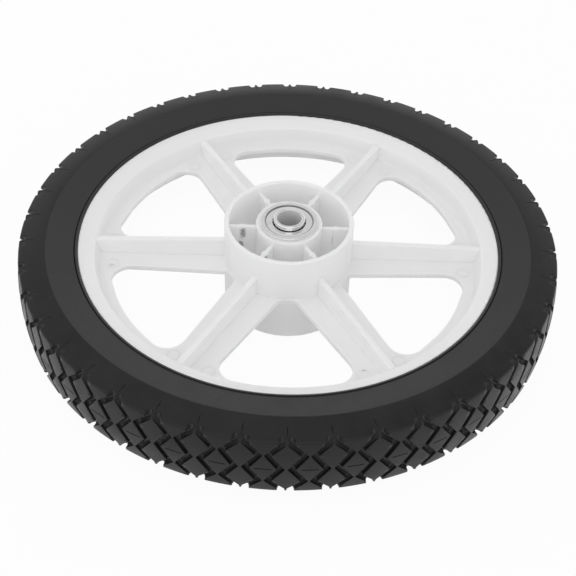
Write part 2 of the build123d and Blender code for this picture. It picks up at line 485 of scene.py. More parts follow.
@dataclass(frozen=True)
class PlasticFinish:
    """White moulded plastic, a little translucent, with a soft sheen, the marks of handling and a painted
    shadow.
    """

    white: float = 0.95
    shade: float = 0.93
    # dark grey of the marks: grime, and in one place a painted shadow
    soil_and_painted_shade: float = 0.09
    roughness: float = 0.36
    roughness_spread: float = 0.05
    peel_depth: float = 0.03 * MM
    peel_scale: float = 260.0
    patch_scale: float = 14.0
    patch_low: float = 0.45
    patch_high: float = 0.8
    translucency: float = 0.6
    light_path: float = 3.0 * MM

    def material(self, effects: Effects, dark_marks: Sequence[DarkMark]) -> bpy.types.Material:
        """Lays out the plastic.

        Args:
            effects: The shared groups.
            dark_marks: The dark marks.

        Returns:
            The material.
        """
        surface = Surface(Slot.MOULDING.value)
        patch = surface.effect(
            effects.patches, "Mask", Scale=self.patch_scale, Low=self.patch_low, High=self.patch_high
        )
        colour = surface.tint(patch, grey(self.white), grey(self.shade))
        # Each mark darkens the white; the one beside a spoke rib's end is a painted shadow.
        for dark_mark in dark_marks:
            mask = surface.effect(effects.mark, "Mask", Centre=dark_mark.centre, Reach=dark_mark.reach)
            share = surface.graph.maths("MULTIPLY", mask, dark_mark.strength)
            colour = surface.tint(share, colour, grey(self.soil_and_painted_shade))
        surface.feed("Base Color", colour)
        surface.roughen(patch, self.roughness, self.roughness_spread)
        peel = surface.effect(effects.grain, "Height", Scale=self.peel_scale)
        surface.feed("Normal", surface.relief(peel, self.peel_depth))
        surface.feed("Subsurface Weight", self.translucency)
        surface.feed("Subsurface Radius", (1.0, 1.0, 1.0))
        surface.feed("Subsurface Scale", self.light_path)
        return surface.material


@dataclass(frozen=True)
class SteelFinish:
    """Bare or plated steel with the circles that turning leaves and a seam round the shield darkened by
    dirt and by painted shade.

    Args:
        slot: The slot that it is for.
        bright: Its reflected colour.
        dull: Its colour in the worn patches.
        roughness: Its mean roughness.
        line_depth: The depth of the turned circles.
    """

    slot: Slot
    bright: float = 0.84
    dull: float = 0.76
    roughness: float = 0.09
    roughness_spread: float = 0.04
    line_spacing: float = 0.22 * MM
    line_depth: float = 0.003 * MM
    bore_radius: float = 8.4 * MM
    bore_grey: float = 0.72
    seam_inner: float = 15.1 * MM
    seam_outer: float = 16.1 * MM
    # grey of the seam round the shield: dirt, and painted shade in the groove there
    seam_dirt_and_shade: float = 0.36
    wear_scale: float = 160.0
    wear_low: float = 0.42
    wear_high: float = 0.75

    def material(self, effects: Effects) -> bpy.types.Material:
        """Lays out the steel.

        Args:
            effects: The shared groups.

        Returns:
            The material.
        """
        surface = Surface(self.slot.value)
        worn = surface.effect(
            effects.patches, "Mask", Scale=self.wear_scale, Low=self.wear_low, High=self.wear_high
        )
        circles = surface.effect(effects.rings, "Height", Spacing=self.line_spacing)
        bore = surface.effect(effects.core, "Mask", Radius=self.bore_radius)
        to_seam = surface.effect(effects.core, "Mask", Radius=self.seam_inner)
        past_seam = surface.effect(effects.core, "Mask", Radius=self.seam_outer)
        metal = surface.tint(worn, grey(self.bright), grey(self.dull))
        # The seam round the shield is darkened: partly dirt, partly painted shade in its groove.
        darkened = surface.tint(past_seam, metal, grey(self.seam_dirt_and_shade))
        seamed = surface.tint(to_seam, darkened, metal)
        surface.feed("Base Color", surface.tint(bore, seamed, grey(self.bore_grey)))
        surface.roughen(worn, self.roughness, self.roughness_spread)
        surface.feed("Metallic", surface.spread(bore, 1.0, 0.0))
        surface.feed("Normal", surface.relief(circles, self.line_depth))
        return surface.material


def stand(name: str, data: bpy.types.ID) -> bpy.types.Object:
    """Adds an object that holds this data to the scene."""
    piece = bpy.data.objects.new(name, data)
    bpy.context.scene.collection.objects.link(piece)
    return piece


def settle(piece: bpy.types.Object) -> None:
    """Makes a piece's modifiers part of its mesh and takes them off."""
    graph = bpy.context.evaluated_depsgraph_get()
    piece.data = bpy.data.meshes.new_from_object(piece.evaluated_get(graph), depsgraph=graph)
    piece.modifiers.clear()


def report(piece: bpy.types.Object) -> None:
    """Logs a piece's name and its count of triangles."""
    triangles = sum(len(face.vertices) - 2 for face in piece.data.polygons)
    LOG.info("%s: %d triangles", piece.name, triangles)


def polar(radius: float, angle: float, height: float) -> Point:
    """Point at a radius and an angle round the axle, and at a height."""
    return (radius * math.cos(angle), radius * math.sin(angle), height)


def rounded(start: Vector, corner: Vector, end: Vector, share: float) -> Vector:
    """Point of a rounded corner at a share of the way from its start to its end."""
    return start.lerp(corner, share).lerp(corner.lerp(end, share), share)


def grow(
    name: str, seed: bpy.types.Mesh, tree: bpy.types.NodeTree, values: Mapping[str, object]
) -> bpy.types.Object:
    """Runs a geometry tree on a seed mesh and keeps the result as a plain mesh.

    Args:
        name: The new piece's name.
        seed: The mesh that the tree starts from.
        tree: The geometry tree.
        values: The tree's inputs by name.

    Returns:
        The new piece, with no modifier left on it.
    """
    piece = stand(name, seed)
    modifier = piece.modifiers.new("pattern", "NODES")
    modifier.node_group = tree
    for item in tree.interface.items_tree:
        if item.name in values:
            modifier[item.identifier] = values[item.name]
    settle(piece)
    piece.data.name = name
    return piece


def smooth_outwards(mesh: bpy.types.Mesh, crease: float) -> None:
    """Turns a closed mesh's faces outwards and shades it smooth up to a crease.

    Args:
        mesh: The mesh, changed in place.
        crease: The angle past which an edge stays sharp.
    """
    work = bmesh.new()
    work.from_mesh(mesh)
    bmesh.ops.recalc_face_normals(work, faces=work.faces)
    work.to_mesh(mesh)
    work.free()
    mesh.shade_smooth()
    mesh.set_sharp_from_angle(angle=crease)


def turned_normals(mesh: bpy.types.Mesh, crease: float) -> None:
    """Sets normals that follow the faces turned round the axle and stay flat on flat faces.

    Args:
        mesh: The mesh, changed in place.
        crease: The angle past which neighbours don't share a normal.
    """
    alike = math.cos(crease)
    turned_limit = 0.08
    fans: list[list[int]] = [[] for _ in mesh.vertices]
    normals = [polygon.normal.copy() for polygon in mesh.polygons]
    areas = [polygon.area for polygon in mesh.polygons]
    outwards: list[float | None] = []
    for polygon in mesh.polygons:
        out = Vector((polygon.center.x, polygon.center.y, 0.0)).normalized()
        sideways = normals[polygon.index].dot(Vector((-out.y, out.x, 0.0)))
        outwards.append(normals[polygon.index].dot(out) if abs(sideways) < turned_limit else None)
        for vertex in polygon.vertices:
            fans[vertex].append(polygon.index)
    corners = []
    for polygon in mesh.polygons:
        own = normals[polygon.index]
        for vertex in polygon.vertices:
            place = mesh.vertices[vertex].co
            out = Vector((place.x, place.y, 0.0)).normalized()
            total = Vector()
            for other in fans[vertex]:
                normal = normals[other]
                if own.dot(normal) < alike:
                    continue
                if outwards[other] is not None:
                    normal = out * outwards[other] + Vector((0.0, 0.0, normal.z))
                total += normal * areas[other]
            corners.append(total.normalized())
    mesh.normals_split_custom_set(corners)


def ring_of_copies() -> bpy.types.NodeTree:
    """Builds the geometry tree that repeats a mesh round the axle and joins the copies.

    Returns:
        A tree with the inputs Count, Start, Weld and Finish.
    """
    graph = Graph(bpy.data.node_groups.new("ring_of_copies", "GeometryNodeTree"))
    graph.opening("Geometry", "NodeSocketGeometry")
    graph.opening("Count", "NodeSocketInt", 1)
    graph.opening("Start", "NodeSocketFloat", 0.0)
    graph.opening("Weld", "NodeSocketFloat", 0.01 * MM)
    graph.opening("Finish", "NodeSocketMaterial")
    graph.outcome("Geometry", "NodeSocketGeometry")
    given = graph.add("NodeGroupInput")
    points = graph.add("GeometryNodePoints", {"Count": given.outputs["Count"]})
    index = graph.add("GeometryNodeInputIndex").outputs[0]
    step = graph.maths("DIVIDE", FULL_TURN, given.outputs["Count"])
    angle = graph.maths("MULTIPLY_ADD", index, step, given.outputs["Start"])
    turn = graph.add("ShaderNodeCombineXYZ", {"Z": angle})
    rotation = graph.add("FunctionNodeEulerToRotation", {0: turn.outputs[0]})
    copies = graph.add(
        "GeometryNodeInstanceOnPoints",
        {
            "Points": points.outputs[0],
            "Instance": given.outputs["Geometry"],
            "Rotation": rotation.outputs[0],
        },
    )
    real = graph.add("GeometryNodeRealizeInstances", {"Geometry": copies.outputs[0]})
    welded = graph.add(
        "GeometryNodeMergeByDistance", {"Geometry": real.outputs[0], "Distance": given.outputs["Weld"]}
    )
    dressed = graph.add(
        "GeometryNodeSetMaterial", {"Geometry": welded.outputs[0], "Material": given.outputs["Finish"]}
    )
    graph.add("NodeGroupOutput", {"Geometry": dressed.outputs[0]})
    return graph.tree


def eased(start: float, end: float, cells: int) -> list[float]:
    """Places between two values that crowd towards both ends, without the first.

    Args:
        start: The first value.
        end: The last value.
        cells: How many steps there are.

    Returns:
        The places, the last one at the end.
    """
    shares = [(1 - math.cos(math.pi * cell / cells)) / 2 for cell in range(1, cells + 1)]
    return [start + (end - start) * share for share in shares]


@dataclass
class Tyre:
    """Solid rubber tyre: one moulded pitch of its diamond tread, repeated round the axle.

    Args:
        outer_radius: Its radius at the middle of the tread.
        half_width: Half its width at the corner of the sidewall.
        rim_radius: Radius of the rim flange that it sits on.
    """

    outer_radius: float
    half_width: float
    rim_radius: float
    pitches: int = 42
    phase: float = math.radians(4.66)
    crown: float = 1.9 * MM
    tread_half: float = 21.8 * MM
    seat_drop: float = 1.2 * MM
    sidewall_band: float = 20.4 * MM
    shoulder_bulge: float = 1.6
    corner_round: float = 0.9 * MM
    edge_round: float = 0.9 * MM
    rim_half: float = 18.4 * MM
    rim_land: float = 2.8 * MM
    channel_depth: float = 6.25 * MM
    channel_half: float = 11.0 * MM
    ridge_width: float = 1.7 * MM
    ridge_height: float = 0.6 * MM
    bead_groove_width: float = 0.9 * MM
    bead_groove_depth: float = 0.7 * MM
    groove_half: float = 2.2 * MM
    groove_depth: float = 3.9 * MM
    groove_turn: float = math.radians(15.4)
    groove_lip: float = 0.07
    groove_lip_reach: float = 1.12
    tie_width: float = 1.2 * MM
    diamond_corner: float = 11.2 * MM
    diamond_end: float = 19.0 * MM
    diamond_round: float = 0.4 * MM
    sipe_half_length: float = 5.25 * MM
    sipe_half_width: float = 0.35 * MM
    sipe_depth: float = 1.1 * MM
    slit_end: float = 10.5 * MM
    slit_depth: float = 0.4 * MM
    slit_widening: float = 0.1 * MM
    scuff_depth: float = 0.3 * MM
    coarse_columns: int = 5
    groove_steps: int = 6
    corner_cells: int = 7
    end_cells: int = 6
    edge_shares: tuple[float, ...] = (0.3, 0.55, 0.8, 1.0)
    corner_shares: tuple[float, ...] = (0.0, 0.33, 0.67, 1.0)
    slit_shares: tuple[float, ...] = (0.0, 0.5, 0.95)
    slit_start: float = 1.26 * MM
    sipe_column: float = 0.95
    ridge_foot: float = 0.9 * MM
    weld: float = 0.01 * MM
    crease: float = math.radians(50)

    def __post_init__(self) -> None:
        """Works out the radii and places that follow from the sizes."""
        self.half_pitch = math.pi * self.outer_radius / self.pitches
        self.corner_radius = self.rim_radius + self.sidewall_band
        self.edge_radius = self.outer_radius - self.crown
        self.near_line = self.tie_width / 2 + self.groove_half
        self.far_line = self.half_pitch - self.near_line

    def crown_radius(self, height: float) -> float:
        """Radius of the tread at a height above the middle plane."""
        return self.outer_radius - self.crown * (height / self.tread_half) ** 2

    def edge_height(self, face: Face) -> float:
        """Height of the tread's edge on one face, as the tread sits a little below the middle plane."""
        return self.tread_half - face.value * self.seat_drop

    def shoulder_height(self, radius: float, face: Face) -> float:
        """Height of the bulging shoulder of one face at a radius."""
        share = (self.edge_radius - radius) / (self.edge_radius - self.corner_radius)
        left = max(0.0, 1 - share) ** self.shoulder_bulge
        return self.half_width - (self.half_width - self.edge_height(face)) * left

    def groove_line(self, height: float) -> float:
        """Distance of a groove's middle from the middle of its column of diamonds.

        Args:
            height: The height above the middle plane.

        Returns:
            The distance along the tread.
        """
        away = abs(height) - self.diamond_corner
        run = self.diamond_corner if away < 0 else self.diamond_end - self.diamond_corner
        softened = math.hypot(away, self.diamond_round) - self.diamond_round
        share = max(0.0, 1 - softened / run)
        return self.near_line + (self.far_line - self.near_line) * share

    def columns(self, height: float) -> list[tuple[float, float]]:
        """Places across one pitch, and the share of the groove's depth at each.

        Args:
            height: The height above the middle plane.

        Returns:
            Pairs of place and share, from one end of the pitch to the other.
        """
        inner_shares = (0.0, 0.65)
        outer_shares = (0.33, 0.42, 0.7, 1.0)
        wall = self.groove_wall()
        middle = self.groove_line(height)
        reach = wall[-1][0] * self.groove_half
        far_side = middle + reach
        half = [(share * (middle - reach), 0.0) for share in inner_shares]
        half += [(middle - place * self.groove_half, share) for place, share in reversed(wall)]
        half += [(middle + place * self.groove_half, share) for place, share in wall[1:]]
        half += [(far_side + share * (self.half_pitch - far_side), 0.0) for share in outer_shares]
        return [(-across, share) for across, share in reversed(half[1:])] + half

    def groove_wall(self) -> list[tuple[float, float]]:
        """Half a round groove, as shares of its half width and its depth, from its middle to its lip."""
        turns = [self.groove_turn * step for step in range(self.groove_steps)]
        round_floor = [(math.sin(turn), math.cos(turn)) for turn in turns]
        return round_floor + [(1.0, self.groove_lip), (self.groove_lip_reach, 0.0)]

    def tread_row(self, height: float, face: Face) -> list[Point]:
        """One row of the tread.

        Args:
            height: The row's height above the middle of the tread.
            face: The face that the row lies towards.

        Returns:
            Places across, radii and heights from the middle plane.
        """
        row = []
        for across, share in self.columns(height):
            radius = self.crown_radius(height) - share * self.groove_depth
            if height == 0 and self.half_pitch - abs(across) < self.sipe_column * self.sipe_half_length:
                radius -= self.sipe_depth
            row.append((across, radius, height - face.value * self.seat_drop))
        return row

    def edge_row(self, share: float, last_height: float, face: Face) -> list[Point]:
        """One row of the rounded edge between the tread and the shoulder.

        Args:
            share: How far round the edge it lies, from 0 to 1.
            last_height: Height of the tread's last row above the middle of the tread.
            face: The face that the row lies towards.

        Returns:
            Places across, radii and heights.
        """
        row = []
        last_row = last_height - face.value * self.seat_drop
        for across, depth_share in self.columns(self.tread_half):
            depth = depth_share * self.groove_depth
            rim = self.edge_radius - depth
            foot = rim - self.edge_round
            above = Vector((self.crown_radius(last_height) - depth, last_row))
            corner = Vector((rim, self.shoulder_height(rim, face)))
            below = Vector((foot, self.shoulder_height(foot, face)))
            point = rounded(above, corner, below, share)
            row.append((across, point.x, point.y))
        return row

    def shoulder_row(self, radius: float, slit: float, face: Face) -> list[Point]:
        """One row of the shoulder, with the slit under each tie.

        Args:
            radius: The row's radius.
            slit: The slit's depth there.
            face: The face that the row lies on.

        Returns:
            Places across, radii and heights.
        """
        height = self.shoulder_height(radius, face)
        row = []
        for across, _ in self.columns(self.tread_half):
            if across == 0:
                row.append((across, radius, height - slit))
                continue
            widening = self.slit_widening * (1 - abs(across) / self.half_pitch)
            row.append((across + math.copysign(widening, across), radius, height))
        return row

    def fine_rows(self, face: Face) -> list[list[Point]]:
        """Rows of one half of the tread and its shoulder, from the middle of the tread outwards."""
        last_height = self.tread_half - self.edge_round
        heights = [0.0, self.sipe_half_width]
        heights += eased(self.sipe_half_width, self.diamond_corner, self.corner_cells)
        heights += eased(self.diamond_corner, self.diamond_end, self.end_cells)
        heights.append(last_height)
        rows = [self.tread_row(height, face) for height in heights]
        rows += [self.edge_row(share, last_height, face) for share in self.edge_shares]
        slit_top = self.edge_radius - self.groove_depth - self.slit_start
        slit_foot = self.edge_radius - self.slit_end
        for share in self.slit_shares:
            radius = slit_top + share * (slit_foot - slit_top)
            rows.append(self.shoulder_row(radius, self.slit_depth, face))
        rows.append(self.shoulder_row(slit_foot, 0.0, face))
        return rows

    def plain_section(self, face: Face) -> list[tuple[float, float]]:
        """Radii and heights of one face's section, from the shoulder down to the rim channel."""
        rise = (self.half_width - self.rim_half) / self.sidewall_band
        groove_start = self.rim_radius + self.ridge_width
        groove_end = groove_start + self.bead_groove_width
        channel_radius = self.rim_radius - self.channel_depth
        corner = Vector((self.corner_radius, self.half_width))
        past_corner = corner.x + self.corner_round
        above = Vector((past_corner, self.shoulder_height(past_corner, face)))
        below = Vector((corner.x - self.corner_round, corner.y - rise * self.corner_round))
        start = self.edge_radius - self.slit_end - self.edge_round
        section = [(start, self.shoulder_height(start, face))]
        for share in self.corner_shares:
            point = rounded(above, corner, below, share)
            section.append((point.x, point.y))
        section += [
            (groove_end, self.rim_half + rise * (groove_end - self.rim_radius)),
            (groove_start + self.bead_groove_width / 2, self.rim_half - self.bead_groove_depth / 2),
            (groove_start, self.rim_half + self.ridge_foot),
            (self.rim_radius + self.ridge_height, self.rim_half + self.ridge_height),
            (self.rim_radius, self.rim_half),
            (self.rim_radius, self.rim_half - self.rim_land),
            (channel_radius, self.channel_half),
        ]
        return section

    def pitch_mesh(self) -> bpy.types.Mesh:
        """Makes one pitch of the tyre, an open slice that closes when it is repeated.

        Returns:
            The slice's mesh.
        """
        under = self.fine_rows(Face.LOWER)[1:]
        lower = [[(across, radius, -height) for across, radius, height in row] for row in under]
        fine = list(reversed(lower)) + self.fine_rows(Face.UPPER)
        step = 2 * self.half_pitch / self.coarse_columns
        places = [-self.half_pitch + column * step for column in range(self.coarse_columns + 1)]
        section = self.plain_section(Face.UPPER)
        section += [(radius, -height) for radius, height in reversed(self.plain_section(Face.LOWER))]
        coarse = [[(across, radius, height) for across in places] for radius, height in section]
        points: list[Point] = []
        faces: list[list[int]] = []
        fine_start = self.lay_rows(fine, points, faces)
        coarse_start = self.lay_rows(coarse, points, faces)
        last_fine = fine_start + (len(fine) - 1) * len(fine[0])
        last_coarse = coarse_start + (len(coarse) - 1) * len(places)
        self.stitch(fine[-1], last_fine, places, coarse_start, faces)
        self.stitch(fine[0], fine_start, places, last_coarse, faces)
        mesh = bpy.data.meshes.new("tread_pitch")
        mesh.from_pydata(points, [], faces)
        return mesh

    def lay_rows(
        self, rows: Sequence[Sequence[Point]], points: list[Point], faces: list[list[int]]
    ) -> int:
        """Adds rows of points, and the faces between them, to a mesh in the making.

        Args:
            rows: Rows of places across, radii and heights.
            points: The mesh's points, added to.
            faces: The mesh's faces, added to.

        Returns:
            The number of the first point.
        """
        start = len(points)
        width = len(rows[0])
        for row in rows:
            for across, radius, height in row:
                points.append(polar(radius, across / self.outer_radius, height))
        for row in range(len(rows) - 1):
            for column in range(width - 1):
                corner = start + row * width + column
                faces.append([corner, corner + 1, corner + width + 1, corner + width])
        return start

    def stitch(
        self,
        fine: Sequence[Point],
        fine_start: int,
        places: Sequence[float],
        coarse_start: int,
        faces: list[list[int]],
    ) -> None:
        """Joins a row of many points to a row of few.

        Args:
            fine: The row of many points.
            fine_start: The number of its first point.
            places: Places across of the row of few points.
            coarse_start: The number of its first point.
            faces: The mesh's faces, added to.
        """
        nearest = [min(range(len(fine)), key=lambda n: abs(fine[n][0] - place)) for place in places]
        for cell in range(len(places) - 1):
            along = [fine_start + n for n in range(nearest[cell], nearest[cell + 1] + 1)]
            faces.append(along + [coarse_start + cell + 1, coarse_start + cell])

    def build(self, tree: bpy.types.NodeTree, rubber: bpy.types.Material) -> bpy.types.Object:
        """Repeats the pitch round the axle and puts the tyre in the place of the plain solid.

        Args:
            tree: The geometry tree that repeats it.
            rubber: Its finish.

        Returns:
            The tyre.
        """
        values = {"Count": self.pitches, "Start": self.phase, "Weld": self.weld, "Finish": rubber}
        tyre = grow("rubber_tyre", self.pitch_mesh(), tree, values)
        smooth_outwards(tyre.data, self.crease)
        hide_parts("tyre")
        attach(tyre, Body.WHEEL.value)
        return tyre


@dataclass(frozen=True)
class WindowCorner:
    """Outer corner of a window between two spokes, seen with the window's middle on the X axis.

    Args:
        radius: The rounding that the solid has.
        tight_radius: The rounding that it gets.
    """

    radius: float = 18.8 * MM
    tight_radius: float = 12.0 * MM
    window_radius: float = 118.45 * MM
    tip: tuple[float, float] = (108.74 * MM, 46.97 * MM)
    root: tuple[float, float] = (42.89 * MM, 5.14 * MM)
    reach: float = 1.0 * MM
    slack: float = 0.05 * MM

    def side(self) -> tuple[Vector, Vector]:
        """Direction of the window's side towards the hub, and the direction into the window."""
        along = (Vector(self.root) - Vector(self.tip)).normalized()
        return along, Vector((along.y, -along.x)) * math.copysign(1.0, along.x)

    def centre(self, radius: float) -> Vector:
        """Centre of a rounding that touches the window's side and its outer arc.

        Args:
            radius: The rounding.

        Returns:
            The centre.
        """
        along, inward = self.side()
        start = Vector(self.tip) + inward * radius
        lean = start.dot(along)
        spare = lean * lean - start.length_squared + (self.window_radius - radius) ** 2
        return start - along * (lean + math.sqrt(spare))

    def moved(self, place: Vector) -> Vector:
        """Moves a point of the old rounding on to the new one, and leaves all others.

        Args:
            place: The point, on the side of the window where Y is positive.

        Returns:
            The new point.
        """
        old, new = self.centre(self.radius), self.centre(self.tight_radius)
        offset = place - old
        beyond = offset.length - self.radius
        _, inward = self.side()
        end = math.atan2(-inward.y, -inward.x)
        start, new_start = math.atan2(old.y, old.x), math.atan2(new.y, new.x)
        turn = math.atan2(offset.y, offset.x)
        margin = self.slack / self.radius
        if not (-self.slack < beyond < self.reach and start - margin < turn < end + margin):
            return place
        new_turn = end - (end - turn) * (end - new_start) / (end - start)
        return new + Vector((math.cos(new_turn), math.sin(new_turn))) * (self.tight_radius + beyond)


@dataclass
class SpokedWheel:
    """White moulding: the frame's solid with its late corrections, its finish and its witness rings."""

    corner: WindowCorner = WindowCorner()
    web_half: float = 2.0 * MM
    spokes: int = 6
    rib_half: float = 2.0 * MM
    rib_start: float = 41.0 * MM
    rib_end: float = 127.95 * MM
    rib_root_height: float = 18.3 * MM
    rib_end_height: float = 13.1 * MM
    rib_root_drop: float = 2.9 * MM
    rib_edge: float = 1.0 * MM
    pocket_inner: float = 21.85 * MM
    pocket_outer: float = 39.2 * MM
    pocket_rib_height: float = 27.0 * MM
    boss_inner: float = 18.5 * MM
    boss_height: float = 31.03 * MM
    clear_height: float = 40.0 * MM
    cutter_sides: int = 180
    crease: float = math.radians(32)
    witness_radius: float = 4.0 * MM
    witness_bead: float = 0.08 * MM
    witness_place: float = 116.8 * MM
    witness_angle: float = math.radians(6.3)
    bead_sides: int = 6
    ring_sides: int = 36
    ring_weld: float = 0.001 * MM
    ring_crease: float = math.radians(80)
    merge_gap: float = 0.002 * MM
    dark_marks: tuple[DarkMark, ...] = (
        # Grime on the hub's rib posts, spots beside two ejector marks, and last a painted shadow.
        DarkMark((-30.2 * MM, -2.2 * MM, 22.5 * MM), (3.4 * MM, 3.2 * MM, 8.0 * MM), 0.7),
        DarkMark((-31.6 * MM, -1.8 * MM, 12.0 * MM), (3.2 * MM, 3.0 * MM, 6.0 * MM), 0.65),
        DarkMark((-14.6 * MM, -28.2 * MM, 24.0 * MM), (3.4 * MM, 3.2 * MM, 4.2 * MM), 0.5),
        DarkMark((29.0 * MM, -1.8 * MM, 18.0 * MM), (0.9 * MM, 2.2 * MM, 9.0 * MM), 0.25),
        DarkMark((-116.5 * MM, -14.1 * MM, 2.0 * MM), (3.0 * MM, 2.0 * MM, 3.0 * MM), 0.25),
        DarkMark((47.4 * MM, -103.0 * MM, 2.0 * MM), (2.4 * MM, 1.2 * MM, 3.0 * MM), 0.3),
        # Painted shadow on the rim wall beside the end of a spoke rib.
        DarkMark((-70.5 * MM, 98.5 * MM, 8.0 * MM), (8.0 * MM, 6.0 * MM, 6.0 * MM), 0.14),
    )

    def witness_seed(self) -> bpy.types.Mesh:
        """Makes the raised circles that the ejector pins leave beside one spoke, on both faces.

        Returns:
            The mesh of four fine rings.
        """
        work = bmesh.new()
        for face in Face:
            for side in (-1, 1):
                angle = side * self.witness_angle
                middle = Vector((math.cos(angle), math.sin(angle), 0.0)) * self.witness_place
                middle.z = face.value * self.web_half
                self.add_ring(work, middle)
        mesh = bpy.data.meshes.new("witness_pair")
        work.to_mesh(mesh)
        work.free()
        return mesh

    def add_ring(self, work: bmesh.types.BMesh, middle: Vector) -> None:
        """Adds one fine ring to a mesh in the making.

        Args:
            work: The mesh, added to.
            middle: The ring's middle.
        """
        rings = []
        for turn in range(self.ring_sides):
            around = FULL_TURN * turn / self.ring_sides
            ring = []
            for side in range(self.bead_sides):
                over = FULL_TURN * side / self.bead_sides
                reach = self.witness_radius + self.witness_bead * math.cos(over)
                offset = Vector(polar(reach, around, self.witness_bead * math.sin(over)))
                ring.append(work.verts.new(middle + offset))
            rings.append(ring)
        for turn, ring in enumerate(rings):
            after = rings[(turn + 1) % self.ring_sides]
            for side in range(self.bead_sides):
                beside = (side + 1) % self.bead_sides
                work.faces.new((ring[side], after[side], after[beside], ring[beside]))

    def moved(self, place: Vector) -> Vector:
        """Corrects one point of the solid: lower spoke ribs and tighter window corners.

        Args:
            place: The point.

        Returns:
            Its new place.
        """
        step = FULL_TURN / self.spokes
        angle = math.atan2(place.y, place.x)
        flat = Vector((place.x, place.y))
        if abs(place.z) <= self.web_half + self.corner.slack:
            middle = (math.floor(angle / step) + 0.5) * step
            local = Matrix.Rotation(-middle, 2) @ flat
            side = math.copysign(1.0, local.y)
            corner = self.corner.moved(Vector((local.x, side * local.y)))
            turned = Matrix.Rotation(middle, 2) @ Vector((corner.x, side * corner.y))
            return Vector((turned.x, turned.y, place.z))
        local = Matrix.Rotation(-round(angle / step) * step, 2) @ flat
        share = (local.x - self.rib_start) / (self.rib_end - self.rib_start)
        top = self.rib_root_height + (self.rib_end_height - self.rib_root_height) * share
        if abs(local.y) > self.rib_half + self.corner.slack or not 0 <= share <= 1:
            return place
        if not top - self.rib_edge < abs(place.z) < top + self.corner.slack:
            return place
        drop = self.rib_root_drop * (1 - share)
        return Vector((place.x, place.y, place.z - math.copysign(drop, place.z)))

    def pocket_cutter(self) -> bpy.types.Object:
        """Makes the two rings that lower the ribs of the hub, one for each face.

        Returns:
            A piece for the cut alone.
        """
        section = [
            (self.pocket_inner, self.pocket_rib_height),
            (self.pocket_outer, self.pocket_rib_height),
            (self.pocket_outer, self.clear_height),
            (self.boss_inner, self.clear_height),
            (self.boss_inner, self.boss_height),
            (self.pocket_inner, self.boss_height),
        ]
        points: list[Point] = []
        faces: list[list[int]] = []
        for face in Face:
            first = len(points)
            for turn in range(self.cutter_sides):
                angle = FULL_TURN * turn / self.cutter_sides
                points += [polar(radius, angle, face.value * height) for radius, height in section]
            for turn in range(self.cutter_sides):
                here = first + turn * len(section)
                after = first + (turn + 1) % self.cutter_sides * len(section)
                for corner in range(len(section)):
                    beside = (corner + 1) % len(section)
                    faces.append([here + corner, here + beside, after + beside, after + corner])
        mesh = bpy.data.meshes.new("pocket_cutter")
        mesh.from_pydata(points, [], faces)
        smooth_outwards(mesh, self.crease)
        return stand("pocket_cutter", mesh)

    def corrected(self, node: bpy.types.Object) -> bpy.types.Object:
        """Makes the moulding from a merged copy of the frame's solid.

        Args:
            node: The frame's solid.

        Returns:
            The moulding, in the solid's place.
        """
        mesh = bpy.data.meshes.new("spoked_moulding")
        work = bmesh.new()
        work.from_mesh(node.data)
        bmesh.ops.remove_doubles(work, verts=work.verts, dist=self.merge_gap)
        for vertex in work.verts:
            vertex.co = self.moved(vertex.co)
        work.to_mesh(mesh)
        work.free()
        piece = stand("spoked_moulding", mesh)
        cutter = self.pocket_cutter()
        cut = piece.modifiers.new("pockets", "BOOLEAN")
        cut.operation = "DIFFERENCE"
        cut.solver = "EXACT"
        cut.object = cutter
        settle(piece)
        bpy.data.objects.remove(cutter)
        smooth_outwards(piece.data, self.crease)
        turned_normals(piece.data, self.crease)
        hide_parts(node.name)
        return piece

    def build(
        self, node: bpy.types.Object, tree: bpy.types.NodeTree, plastic: bpy.types.Material
    ) -> bpy.types.Object:
        """Dresses the moulding and adds the witness rings of all its spokes.

        Args:
            node: The frame's solid.
            tree: The geometry tree that repeats the rings.
            plastic: Their finish.

        Returns:
            The witness rings.
        """
        moulding = self.corrected(node)
        moulding.data.materials.clear()
        moulding.data.materials.append(plastic)
        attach(moulding, Body.WHEEL.value)
        report(moulding)
        values = {"Count": self.spokes, "Start": 0.0, "Weld": self.ring_weld, "Finish": plastic}
        rings = grow("ejector_witness_rings", self.witness_seed(), tree, values)
        smooth_outwards(rings.data, self.ring_crease)
        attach(rings, Body.WHEEL.value)
        return rings


def dress(node: bpy.types.Object, material: bpy.types.Material) -> None:
    """Gives a solid of the frame its finish."""
    for place in node.material_slots:
        place.material = material


@dataclass
class Bearings:
    """The two flanged ball bearings and the spacer tube between them, dressed as steel."""

    plated: SteelFinish = SteelFinish(Slot.PLATED)
    balls: SteelFinish = SteelFinish(
        Slot.BALLS, bright=0.8, dull=0.74, roughness=0.1, roughness_spread=0.03
    )
    plain: SteelFinish = SteelFinish(Slot.PLAIN, bright=0.42, dull=0.3, roughness=0.38)

    def build(self, nodes: Mapping[str, bpy.types.Object], effects: Effects) -> None:
        """Dresses each piece of both bearings.

        Args:
            nodes: The frame's solids by name.
            effects: The shared groups.
        """
        plated = self.plated.material(effects)
        balls = self.balls.material(effects)
        for face in Face:
            side = face.name.lower()
            for piece in ("outer_ring", "inner_ring", "shield"):
                dress(nodes[f"{side}_{piece}"], plated)
            dress(nodes[f"{side}_balls"], balls)
        dress(nodes["spacer_tube"], self.plain.material(effects))


